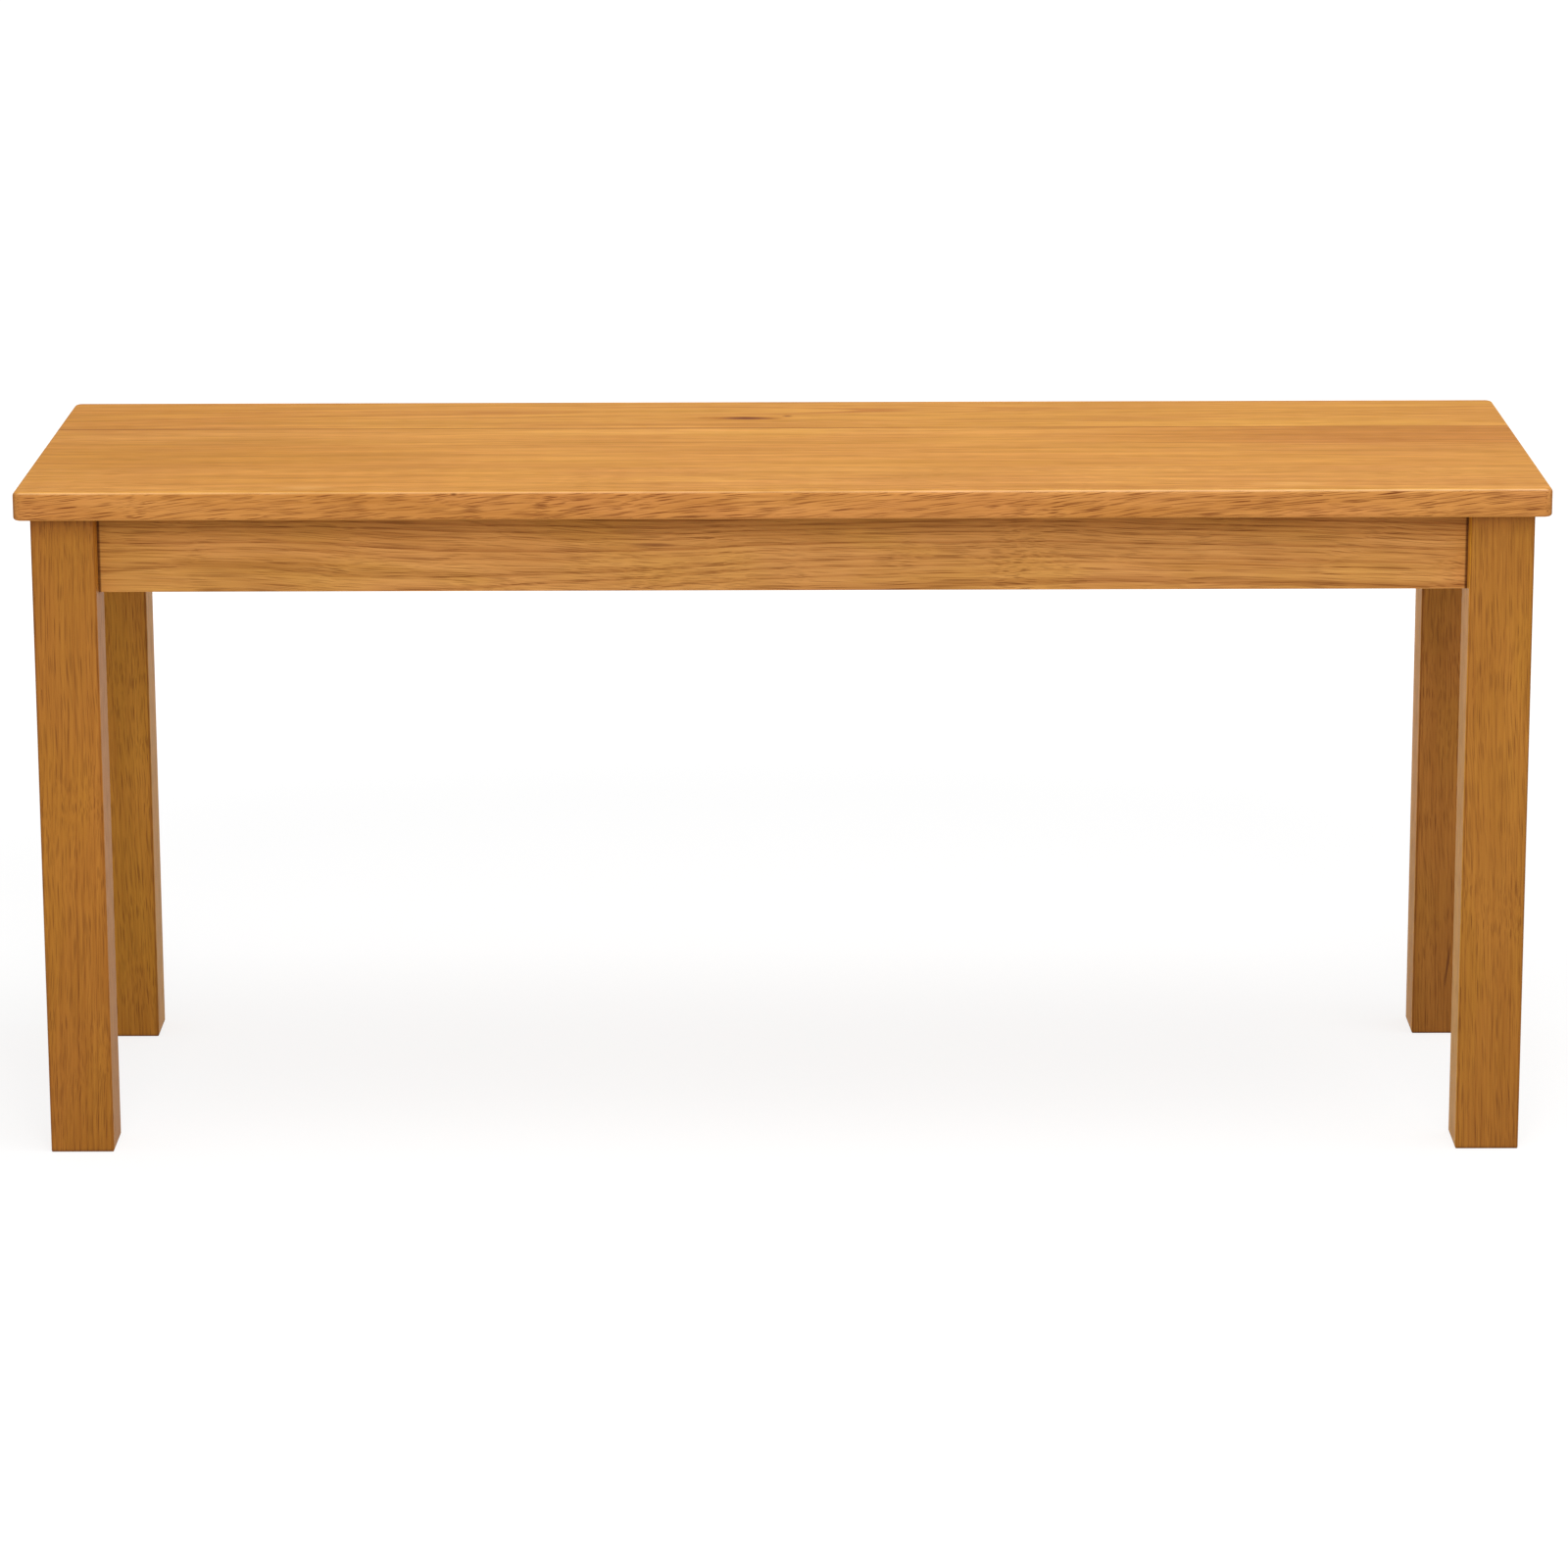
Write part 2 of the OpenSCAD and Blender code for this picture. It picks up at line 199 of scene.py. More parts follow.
# Limits say where a pattern starts to show and where it is full
oakShades = {
    "seedShift": (3.17, 1.93, 2.41), "wanderShare": 2, "wobbleShare": (0.16, 0.16, 0.16),
    "swayWobble": (0, 0.3, 0.3), "swell": 2.2, "ringStart": (0, 0.10), "ringFade": (0.62, 0.10),
    "yearTone": 0.8, "yearBase": 0.45, "poreLimits": (0.54, 0.66), "poreShare": 0.6,
    "dashLimits": (0.52, 0.20), "dashFull": 0.95, "patchLimits": (0.35, 0.65),
    "rayLimits": (0.62, 0.74), "rayTint": (1.16, 1.20, 1.30), "shadeTint": (1, 1.35, 2.1),
    "driftLimits": (0.38, 0.62), "goldenTint": (0.99, 1.01, 0.86, 1), "rosyTint": (1.01, 0.97, 1.08, 1),
    "endLimits": (0.55, 0.95), "endTint": (0.80, 0.74, 0.66), "poreRoughness": 0.12, "fibreRoughness": 0.12,
    "poreHeight": -1, "fibreHeight": 0.22, "ringHeight": -0.18, "relief": (0.35, 0.12),
}


def buildOakFigure():
    scales, shades = oakScales, oakShades
    names = {
        "NodeSocketVector": ["Place", "Pith", "Lean", "Slope", "Band Stretch"],
        "NodeSocketColor": ["Late Wood", "Early Wood", "Pore Colour"],
        "NodeSocketFloat": [
            "End Grain", "Ring Width", "Wander", "Seed", "Ring Contrast", "Band Contrast", "Fibre Contrast",
            "Pore Amount", "Ray Amount", "Crowding", "Fineness", "Tone Drift", "Sway", "Stretch",
            "Base Roughness", "Dash Start", "Dash Crowding",
        ],
    }
    inputs = [(name, kind, None) for kind, group in names.items() for name in group]
    outputs = [("Colour", "NodeSocketColor"), ("Roughness", "NodeSocketFloat"), ("Height", "NodeSocketFloat")]
    tree, given, made = newGroup("oakFigure", "ShaderNodeTree", inputs, outputs)

    # each piece is cut from its own place in the tree
    seedShift = scaleVector(tree, shades["seedShift"], given["Seed"])
    place = splitVector(tree, given["Place"])
    lean = splitVector(tree, given["Lean"])
    shifted = vectorMath(tree, "ADD", given["Place"], seedShift)
    wobble = swayField(tree, shifted, scales["wobble"])
    bend = scaleVector(tree, swayField(tree, shifted, scales["wander"]), given["Wander"])
    bend = scaleVector(tree, bend, shades["wanderShare"])
    smallBend = scaleVector(tree, wobble, given["Wander"])
    bend = splitVector(tree, vectorMath(tree, "MULTIPLY_ADD", smallBend, shades["wobbleShare"], bend))

    # fibres follow the trunk: they lean across the piece and wander a little
    across = reckon(tree, "ADD", timesPlus(tree, place["X"], lean["Y"], place["Y"]), bend["Y"])
    through = reckon(tree, "ADD", timesPlus(tree, place["X"], lean["Z"], place["Z"]), bend["Z"])
    fibrePlace = vectorMath(tree, "ADD", joinVector(tree, place["X"], across, through), seedShift)
    slope = vectorMath(tree, "MULTIPLY", joinVector(tree, 0, place["X"], place["X"]), given["Slope"])
    sway = scaleVector(tree, swayField(tree, shifted, scales["sway"]), given["Sway"])
    dashPlace = vectorMath(tree, "ADD", fibrePlace, vectorMath(tree, "ADD", slope, sway))
    smallSway = vectorMath(tree, "MULTIPLY", scaleVector(tree, wobble, given["Sway"]), shades["swayWobble"])
    dashPlace = vectorMath(tree, "ADD", dashPlace, smallSway)

    # rings, each a little wider or narrower and darker or lighter than the next
    pith = splitVector(tree, given["Pith"])
    fromPithY = minus(tree, across, pith["Y"])
    fromPithZ = minus(tree, through, pith["Z"])
    radius = lengthOf(tree, joinVector(tree, 0, fromPithY, fromPithZ))
    angle = reckon(tree, "ARCTAN2", fromPithY, fromPithZ)
    swell = noiseField(tree, joinVector(tree, radius, given["Seed"], 0), scales["swell"])["Fac"]
    swell = times(tree, swell, shades["swell"])
    ringCount = reckon(tree, "ADD", reckon(tree, "DIVIDE", radius, given["Ring Width"]), swell)
    phase = reckon(tree, "FRACT", ringCount)
    year = reckon(tree, "ADD", reckon(tree, "FLOOR", ringCount), given["Seed"])
    yearTone = addNode(tree, "ShaderNodeTexWhiteNoise", {"W": year}, noise_dimensions="1D").outputs["Value"]
    start = smoothStep(tree, phase, *shades["ringStart"])
    early = times(tree, start, smoothStep(tree, phase, *shades["ringFade"]))

    # pores crowd in the early wood; a few lie scattered between
    shorter = reckon(tree, "DIVIDE", 1, given["Stretch"])
    dashScale = joinVector(tree, shorter, given["Fineness"], given["Fineness"])
    dashPlace = vectorMath(tree, "MULTIPLY", dashPlace, dashScale)
    pore = smoothStep(tree, noiseField(tree, dashPlace, scales["pore"])["Fac"], *shades["poreLimits"])
    cellPlace = vectorMath(tree, "MULTIPLY", dashPlace, scales["dash"])
    dashCell = addNode(tree, "ShaderNodeTexVoronoi", {"Vector": cellPlace, "Scale": 1}).outputs
    patch = smoothStep(tree, noiseField(tree, fibrePlace, scales["patch"])["Fac"], *shades["patchLimits"])
    chance = splitVector(tree, dashCell["Color"])["X"]
    chance = timesPlus(tree, patch, given["Dash Crowding"], chance)
    kept = smoothStep(tree, chance, given["Dash Start"], shades["dashFull"])
    dash = times(tree, smoothStep(tree, dashCell["Distance"], *shades["dashLimits"]), kept)
    crowd = timesPlus(tree, minus(tree, early, 1), given["Crowding"], 1)
    deepest = reckon(tree, "MAXIMUM", times(tree, pore, shades["poreShare"]), dash)
    pores = times(tree, deepest, crowd)

    fibre = noiseField(tree, fibrePlace, scales["fibre"], detail=3, roughness=0.6)["Fac"]
    fibreSide = minus(tree, fibre, 0.5)
    band = noiseField(tree, fibrePlace, given["Band Stretch"], detail=3, roughness=0.62)["Fac"]
    tone = noiseField(tree, fibrePlace, scales["tone"], detail=2)["Fac"]
    rayPlace = vectorMath(tree, "ADD", joinVector(tree, place["X"], angle, radius), seedShift)
    rays = smoothStep(tree, noiseField(tree, rayPlace, scales["ray"])["Fac"], *shades["rayLimits"])

    # colour: rings, then bands and fibres as light and dark, then a drift between golden and rosy
    yearShade = timesPlus(tree, yearTone, shades["yearTone"], shades["yearBase"])
    ringShade = times(tree, early, yearShade)
    ringShade = times(tree, ringShade, given["Ring Contrast"], clamp=True)
    colour = mixColour(tree, ringShade, given["Late Wood"], given["Early Wood"])
    bandShade = times(tree, minus(tree, band, 0.5), given["Band Contrast"])
    fibreShade = times(tree, fibreSide, given["Fibre Contrast"])
    # darker wood is redder and deeper, paler wood is milkier
    shade = scaleVector(tree, shades["shadeTint"], reckon(tree, "ADD", bandShade, fibreShade))
    colour = vectorMath(tree, "MULTIPLY", colour, vectorMath(tree, "ADD", shade, (1, 1, 1)))
    drift = smoothStep(tree, tone, *shades["driftLimits"])
    drift = mixColour(tree, drift, shades["goldenTint"], shades["rosyTint"])
    drift = mixColour(tree, given["Tone Drift"], (1, 1, 1, 1), drift)
    colour = vectorMath(tree, "MULTIPLY", colour, drift)
    rayShade = times(tree, rays, given["Ray Amount"])
    colour = tintColour(tree, rayShade, colour, shades["rayTint"])
    poreShade = times(tree, pores, given["Pore Amount"], clamp=True)
    colour = mixColour(tree, poreShade, colour, given["Pore Colour"])
    # cut ends drink more finish and turn darker
    ends = smoothStep(tree, given["End Grain"], *shades["endLimits"])
    feed(tree, made["Colour"], tintColour(tree, ends, colour, shades["endTint"]))

    roughness = timesPlus(tree, pores, shades["poreRoughness"], given["Base Roughness"])
    fibreRoughness = times(tree, fibreSide, shades["fibreRoughness"])
    feed(tree, made["Roughness"], reckon(tree, "ADD", roughness, fibreRoughness))
    fibreHeight = times(tree, fibre, shades["fibreHeight"])
    height = timesPlus(tree, pores, shades["poreHeight"], fibreHeight)
    feed(tree, made["Height"], timesPlus(tree, early, shades["ringHeight"], height))
    return tree


oakFigure = buildOakFigure()
print("oak figure built")

# How the world's axes turn into the wood's: the rows are along the grain, across it and through it
grainTurns = {
    "x": Matrix(((1, 0, 0), (0, 1, 0), (0, 0, 1))),
    "y": Matrix(((0, 1, 0), (-1, 0, 0), (0, 0, 1))),
    "z": Matrix(((0, 0, 1), (1, 0, 0), (0, 1, 0))),
}

# What comes on top of the figure. Cores are the shares of a width or size in which a shade is full, the
# foot's reach is a height in metres, and the knot's seam is half the width in millimetres where lines part.
finishLook = {
    "flatLimits": (0.5, 0.9), "faceLimits": (0.6, 0.9), "upLimits": (0, 0.5), "arrisCore": 0.35,
    "darkBandCore": 0.2, "besideCore": 0.5, "markCore": 0.15, "raggedness": 0.8, "knotSeam": 2,
    "footReach": 0.24,
}


def grainPlace(tree, turn, centre):
    coords = addNode(tree, "ShaderNodeTexCoord").outputs
    sockets = {
        "Vector": coords["Object"], "Location": -(turn @ centre), "Rotation": turn.to_euler("XYZ"),
    }
    place = addNode(tree, "ShaderNodeMapping", sockets, vector_type="POINT").outputs[0]
    along = tuple(turn.row[0])
    facing = vectorMath(tree, "DOT_PRODUCT", coords["Normal"], along, result="Value")
    return coords, place, reckon(tree, "ABSOLUTE", facing)


# the share of a surface that lies on an arris, in ragged patches; it carries wear and the seat's painted
# highlight
def arrisWearAndHighlight(tree, coords, edges, look):
    # on the surface one distance to the box is nothing, so the middle one of the three is the way to an arris
    low, high = edges
    place = coords["Object"]
    fromLow = splitVector(tree, vectorMath(tree, "SUBTRACT", place, tuple(low)))
    fromHigh = splitVector(tree, vectorMath(tree, "SUBTRACT", tuple(high), place))
    x, y, z = (reckon(tree, "MINIMUM", fromLow[axis], fromHigh[axis]) for axis in "XYZ")
    larger = reckon(tree, "MAXIMUM", x, y)
    middle = reckon(tree, "MAXIMUM", reckon(tree, "MINIMUM", x, y), reckon(tree, "MINIMUM", larger, z))
    patches = noiseField(tree, place, oakScales["wearAndHighlight"], detail=3)["Fac"]
    width, patchy = look["arrisWidth"] * mm, look["arrisPatchy"]
    reach = timesPlus(tree, patches, 2 * width * patchy, width * (1 - patchy))
    arrisShare = smoothStep(tree, middle, reach, times(tree, reach, finishLook["arrisCore"]))
    if look["highlightFacingUp"]:
        up = splitVector(tree, coords["Normal"])["Z"]
        arrisShare = times(tree, arrisShare, smoothStep(tree, up, *finishLook["upLimits"]))
    return arrisShare


def jointLineAndShade(tree, coords, darkBand):
    # a darker band near |axis| = at: dark joint lines and painted shade under the seat, in corners and at the
    # feet
    width = darkBand["width"] * mm
    away = splitVector(tree, vectorMath(tree, "ABSOLUTE", coords["Object"]))
    gap = reckon(tree, "ABSOLUTE", minus(tree, away[darkBand["axis"]], darkBand["at"]))
    shade = smoothStep(tree, gap, width, finishLook["darkBandCore"] * width)
    if "beside" in darkBand:
        axis, place = darkBand["beside"]
        gap = reckon(tree, "ABSOLUTE", minus(tree, away[axis], place))
        near = smoothStep(tree, gap, width, finishLook["besideCore"] * width)
        shade = times(tree, shade, near)
    if "above" in darkBand:
        height = splitVector(tree, coords["Object"])["Z"]
        higher = smoothStep(tree, height, darkBand["above"] - width, darkBand["above"])
        shade = times(tree, shade, higher)
    return shade


def markShade(tree, place, centre, mark):
    # a lens-shaped streak along the grain, ragged as the fibres are; its slant is a drift across and through
    way = vectorMath(tree, "SUBTRACT", place, tuple(centre))
    run = splitVector(tree, way)["X"]
    slant = (0, *mark.get("slant", (0, 0)))
    drift = vectorMath(tree, "MULTIPLY", joinVector(tree, 0, run, run), slant)
    way = vectorMath(tree, "SUBTRACT", way, drift)
    shares = vectorMath(tree, "DIVIDE", way, millimetres(mark["size"]))
    raggedness = finishLook["raggedness"]
    ragged = noiseField(tree, place, oakScales["ragged"], detail=2)["Fac"]
    ragged = timesPlus(tree, ragged, raggedness, -raggedness / 2)
    distance = reckon(tree, "ADD", lengthOf(tree, shares), ragged)
    return times(tree, smoothStep(tree, distance, 1, finishLook["markCore"]), mark["strength"])


def bendRound(tree, place, centre, knot):
    # the growth lines part a little to pass a knot
    way = vectorMath(tree, "SUBTRACT", place, tuple(centre))
    shares = vectorMath(tree, "DIVIDE", way, millimetres(knot["reach"]))
    near = smoothStep(tree, lengthOf(tree, shares), 1, 0)
    seam = finishLook["knotSeam"] * mm
    side = smoothStep(tree, splitVector(tree, way)["Y"], -seam, seam)
    push = times(tree, timesPlus(tree, side, -2, 1), knot["push"] * mm)
    return vectorMath(tree, "ADD", place, joinVector(tree, 0, times(tree, near, push), 0))


def oakMaterial(name, look, box, edges):
    material, tree = newMaterial(name)
    turn = grainTurns[look["grain"]]
    low, high = box
    middle = (low + high) / 2
    coords, place, endGrain = grainPlace(tree, turn, middle)
    bent = place
    for knot in look.get("knots", []):
        bent = bendRound(tree, bent, turn @ (Vector(knot["centre"]) * mm - middle), knot)

    # a face that looks up or down has its own pores and bands, and no slope
    flat = vectorMath(tree, "DOT_PRODUCT", coords["Normal"], (0, 0, 1), result="Value")
    flat = smoothStep(tree, reckon(tree, "ABSOLUTE", flat), *finishLook["flatLimits"])
    steep = minus(tree, 1, flat)
    pairs = (("topPores", "poreAmount"), ("topFineness", "fineness"), ("topBands", "bandContrast"))
    poreAmount, fineness, bands = (
        timesPlus(tree, flat, look[top] - look[side], look[side]) for top, side in pairs
    )
    values = {
        "Place": bent, "End Grain": endGrain, "Pith": millimetres(look["pith"]), "Lean": look["lean"],
        "Slope": scaleVector(tree, look["slope"], steep), "Seed": look["seed"], "Stretch": look["stretch"],
        "Ring Width": look["ringWidth"] * mm, "Wander": look["wander"] * mm, "Sway": look["sway"] * mm,
        "Late Wood": screenColour(*look["lateWood"]), "Early Wood": screenColour(*look["earlyWood"]),
        "Pore Colour": screenColour(*look["poreColour"]), "Ring Contrast": look["ringContrast"],
        "Band Contrast": bands, "Fibre Contrast": look["fibreContrast"], "Pore Amount": poreAmount,
        "Ray Amount": look["rayAmount"], "Crowding": look["crowding"], "Fineness": fineness,
        "Tone Drift": look["toneDrift"], "Base Roughness": look["roughness"],
        "Band Stretch": look["bandStretch"], "Dash Start": look["dashStart"],
        "Dash Crowding": look["dashCrowding"],
    }
    figure = addNode(tree, "ShaderNodeGroup", values, node_tree=oakFigure).outputs

    colour = figure["Colour"]
    for mark in look.get("marks", []):
        shade = markShade(tree, place, turn @ (Vector(mark["centre"]) * mm - middle), mark)
        if "tint" in mark:
            colour = tintColour(tree, shade, colour, mark["tint"])
        else:
            colour = mixColour(tree, shade, colour, screenColour(*mark["colour"]))
    # near the arrises: a painted highlight on the seat's upper arrises, darker arrises on the legs, paler
    # ones on the aprons
    arrisShare = times(tree, arrisWearAndHighlight(tree, coords, edges, look), look["wearAndHighlight"])
    colour = tintColour(tree, arrisShare, colour, look["wearAndHighlightTint"])

    # faces that look left or right get a painted sheen, the surround's reflection; faces that look up or down
    # take the finish a little differently
    facing = splitVector(tree, vectorMath(tree, "ABSOLUTE", coords["Normal"]))
    for axis, tint in (("X", look["sideSheen"]), ("Z", look["topTint"])):
        turned = smoothStep(tree, facing[axis], *finishLook["faceLimits"])
        colour = tintColour(tree, turned, colour, tint)
    # painted light: on some pieces the face that looks to the left is paler, as if lit more from that side
    if "leftLightTint" in look:
        toLeft = vectorMath(tree, "DOT_PRODUCT", coords["Normal"], (-1, 0, 0), result="Value")
        turned = smoothStep(tree, toLeft, *finishLook["faceLimits"])
        colour = tintColour(tree, turned, colour, look["leftLightTint"])
    # dark joint lines and painted shade near where other pieces meet
    for darkBand in look.get("joints", []):
        shade = jointLineAndShade(tree, coords, darkBand)
        # the painted shade round a foot leaves its underside out
        if darkBand.get("sidesOnly"):
            shade = times(tree, shade, steep)
        colour = tintColour(tree, shade, colour, darkBand["tint"])
    if "footShade" in look:
        height = splitVector(tree, coords["Object"])["Z"]
        lower = smoothStep(tree, height, finishLook["footReach"], 0)
        colour = tintColour(tree, lower, colour, look["footShade"])
    constants = {"Specular IOR Level": look["specular"]}
    coatSurface(tree, colour, figure["Roughness"], figure["Height"], oakShades["relief"], constants)
    return material


def dress(node, material):
    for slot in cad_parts[node].material_slots:
        slot.material = material


def oakPiece(node, look, edges=None):
    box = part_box(node)
    dress(node, oakMaterial("oak." + node, look, box, edges or box))


# What the oak pieces share. Rings, pith and wander are in millimetres from a piece's middle in its own wood
# axes, marks and knots in millimetres in the bench's axes. Top values are for faces that look up or down, and
# the side sheen is a painted reflection of the surround on the faces that look left or right.

oakLook = {
    "slope": (0, 0, 0), "stretch": 1, "rayAmount": 0.15, "toneDrift": 0.6, "bandStretch": (8, 62, 62),
    "dashStart": 0.35, "dashCrowding": 0.4, "sideSheen": (1, 1, 1), "topTint": (1, 1, 1),
    "highlightFacingUp": False,
}

# The seat's four boards, glued edge to edge

seatLook = {
    **oakLook, "grain": "x", "ringWidth": 2.6, "wander": 3, "sway": 3,
    "crowding": 0.6, "fineness": 1, "topFineness": 1.7,
    "lateWood": (212, 147, 70), "earlyWood": (194, 124, 52), "poreColour": (150, 86, 34),
    "ringContrast": 0.22, "bandContrast": 0.34, "topBands": 0.68, "fibreContrast": 0.46,
    "poreAmount": 0.45, "topPores": 0.42, "rayAmount": 0.30, "toneDrift": 0.35, "roughness": 0.64,
    "specular": 0.10, "topTint": (1, 1, 0.88), "bandStretch": (8, 95, 62),
    # the seat's upper arrises get a painted highlight, pale and bluish
    "wearAndHighlight": 1, "arrisWidth": 2, "arrisPatchy": 0.2, "highlightFacingUp": True, "wearAndHighlightTint": (1.36, 1.76, 3.10),
}

seatBoards = {
    "seat_board_front": {
        "pith": (0, 130, 6), "lean": (0, 0.004, -0.012), "slope": (0, 0, -0.09), "seed": 2, "rayAmount": 0.35,
        "lateWood": (203, 137, 70), "earlyWood": (186, 117, 53), "poreColour": (104, 43, 12),
        "topTint": (1.12, 1.19, 1), "dashStart": 0.24, "dashCrowding": 0.1,
        "poreAmount": 1, "topPores": 0.33, "crowding": 0.2, "fineness": 1.65, "sway": 8,
        "marks": [
            {"centre": (-213, -170, 448), "size": (3, 3, 1.4), "strength": 0.8, "colour": (110, 58, 22)},
            {"centre": (-61, -170, 433), "size": (16, 4, 1.1), "strength": 0.8, "colour": (120, 66, 28)},
            {"centre": (-310, -155, 450), "size": (26, 10, 5), "strength": 0.35, "colour": (232, 172, 116)},
            {"centre": (330, -150, 450), "size": (34, 9, 5), "strength": 0.3, "colour": (236, 176, 112)},
            {"centre": (-340, -120, 450), "size": (330, 80, 12), "strength": 0.6, "tint": (0.99, 0.96, 0.68)},
            # a painted highlight along the right half of the front top arris
            {"centre": (330, -169, 449), "size": (300, 5, 3.4), "strength": 0.8, "tint": (1.06, 1.16, 1.30)},
        ],
    },
    "seat_board_front_inner": {
        "pith": (0, 60, -80), "lean": (0, 0.002, 0.01), "seed": 5,
        "marks": [
            {"centre": (330, -40, 450), "size": (260, 100, 30), "strength": 0.5, "tint": (1.03, 1.05, 1.04)},
            {"centre": (420, -10, 450), "size": (180, 60, 12), "strength": 0.9, "tint": (0.90, 0.85, 0.88)},
            {"centre": (-400, -40, 450), "size": (280, 120, 30), "strength": 0.8, "tint": (0.87, 0.81, 0.57)},
        ],
    },
    "seat_board_rear_inner": {
        "pith": (0, -50, -60), "lean": (0, -0.004, 0), "seed": 9,
        "marks": [
            {"centre": (450, 22, 450), "size": (330, 95, 30), "strength": 0.9, "tint": (0.84, 0.74, 0.68)},
            {"centre": (-50, 48, 450), "size": (430, 18, 9), "strength": 0.9, "tint": (1.15, 1.23, 1.38)},
            {"centre": (-430, 4, 450), "size": (240, 26, 12), "strength": 0.8, "tint": (0.88, 0.84, 0.66)},
        ],
    },
    "seat_board_rear": {
        "pith": (0, 20, -50), "lean": (0, -0.04, 0.01), "seed": 13, "ringContrast": 0.6,
        "lateWood": (216, 152, 72), "earlyWood": (192, 120, 54),
        "joints": [{"axis": "Y", "at": 0.0612, "width": 6, "tint": (0.68, 0.57, 0.44)}],
        "knots": [{"centre": (-28, 102, 450), "reach": (60, 22, 30), "push": 5}],
        "marks": [
            {"centre": (-28, 102, 450), "size": (48, 12, 12), "strength": 0.7, "colour": (180, 106, 34)},
            {"centre": (-26, 101.5, 450), "size": (27, 7, 9), "strength": 1, "colour": (112, 50, 4)},
            {"centre": (3, 110, 450), "size": (5, 5, 4), "strength": 0.8, "colour": (146, 82, 26)},
            {"centre": (20, 80, 450), "size": (420, 3.4, 9), "slant": (0.03, 0), "strength": 0.75,
             "tint": (0.82, 0.75, 0.64)},
            {"centre": (-150, 67.5, 450), "size": (260, 3, 9), "strength": 0.7, "tint": (1.09, 1.14, 1.22)},
            {"centre": (300, 74, 450), "size": (340, 18, 12), "strength": 0.8, "tint": (1.09, 1.16, 1.10)},
            {"centre": (-460, 112, 450), "size": (260, 110, 20), "strength": 0.9, "tint": (0.91, 0.84, 0.68)},
        ],
    },
}

seatLow = Vector([min(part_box(node)[0][axis] for node in seatBoards) for axis in range(3)])
seatHigh = Vector([max(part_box(node)[1][axis] for node in seatBoards) for axis in range(3)])
for node, own in seatBoards.items():
    oakPiece(node, {**seatLook, **own}, (seatLow, seatHigh))
print("seat boards finished")


# The legs, upright in the grain, which has its Y along the world's X and its Z along the world's Y

legLook = {
    **oakLook, "grain": "z", "pith": (0, 70, 80), "lean": (0, 0.01, 0.01), "slope": (0, 0.02, 0.02),
    "ringWidth": 2.2, "wander": 3, "sway": 8, "crowding": 0.35, "fineness": 1.35, "topFineness": 1,
    "lateWood": (174, 112, 37), "earlyWood": (156, 94, 27), "poreColour": (108, 58, 14),
    "ringContrast": 0.35, "bandContrast": 0.34, "topBands": 0.34, "fibreContrast": 0.44,
    # the side sheen paints the pale surround's reflection on the faces that look left or right
    "poreAmount": 0.70, "topPores": 0.3, "roughness": 0.50, "specular": 0.16, "sideSheen": (1.26, 1.36, 1.28),
    "wearAndHighlight": 0.9, "arrisWidth": 2, "arrisPatchy": 0.6, "wearAndHighlightTint": (0.80, 0.72, 0.62),
    "joints": [
        # a dark joint line where the apron meets the leg, with painted shade in that corner
        {"axis": "Y", "at": 0.1465, "beside": ("X", 0.448), "above": 0.379, "width": 2.2,
         "tint": (0.30, 0.22, 0.14)},
        # painted shadow of the seat on the top of the leg
        {"axis": "Z", "at": 0.431, "width": 18, "tint": (0.76, 0.71, 0.63)},
        # painted contact shade round the foot's lower edge
        {"axis": "Z", "at": 0, "width": 3, "tint": (0.76, 0.72, 0.62), "sidesOnly": True},
    ],
    "footShade": (0.88, 0.86, 0.84),
}

# the rear legs' arrises are darker and more even
rearArrises = {"wearAndHighlightTint": (0.62, 0.52, 0.42), "arrisWidth": 1.8, "arrisPatchy": 0.3}
legs = {
    "leg_front_left": {
        "seed": 21, "lean": (0, -0.03, 0.01), "bandContrast": 0.20,
        "marks": [
            {"centre": (-479, -170, 350), "size": (95, 80, 80), "strength": 0.8,
             "tint": (0.935, 0.935, 0.95)},
            {"centre": (-479, -170, 150), "size": (80, 80, 80), "strength": 0.7, "tint": (1.04, 1.07, 1)},
        ],
    },
    "leg_front_right": {
        "seed": 24, "lateWood": (174, 114, 38), "earlyWood": (156, 96, 29), "lean": (0, 0.012, 0),
        # painted light on the face that looks to the left
        "leftLightTint": (1.39, 1.54, 1.47),
        "marks": [{"centre": (479, -170, 200), "size": (95, 80, 80), "strength": 0.8,
                   "tint": (0.94, 0.945, 0.94)}],
    },
    "leg_rear_left": {
        **rearArrises, "seed": 27, "lateWood": (187, 126, 42), "earlyWood": (168, 104, 33),
        # a stronger painted sheen on its side faces
        "pith": (0, -60, -70), "footShade": (0.94, 0.92, 0.84), "sideSheen": (1.36, 1.52, 1.38),
    },
    "leg_rear_right": {
        **rearArrises, "seed": 31, "lateWood": (174, 113, 42), "earlyWood": (156, 96, 32),
        # painted light on the face that looks to the left
        "pith": (0, -70, -60), "leftLightTint": (1.42, 1.52, 1.27),
        "marks": [{"centre": (472, 118, 48), "size": (24, 1.5, 6), "slant": (0.12, 0), "strength": 0.8,
                   "colour": (96, 48, 16)}],
    },
}

for node, own in legs.items():
    oakPiece(node, {**legLook, **own})
print("legs finished")


# The aprons and the rail between them

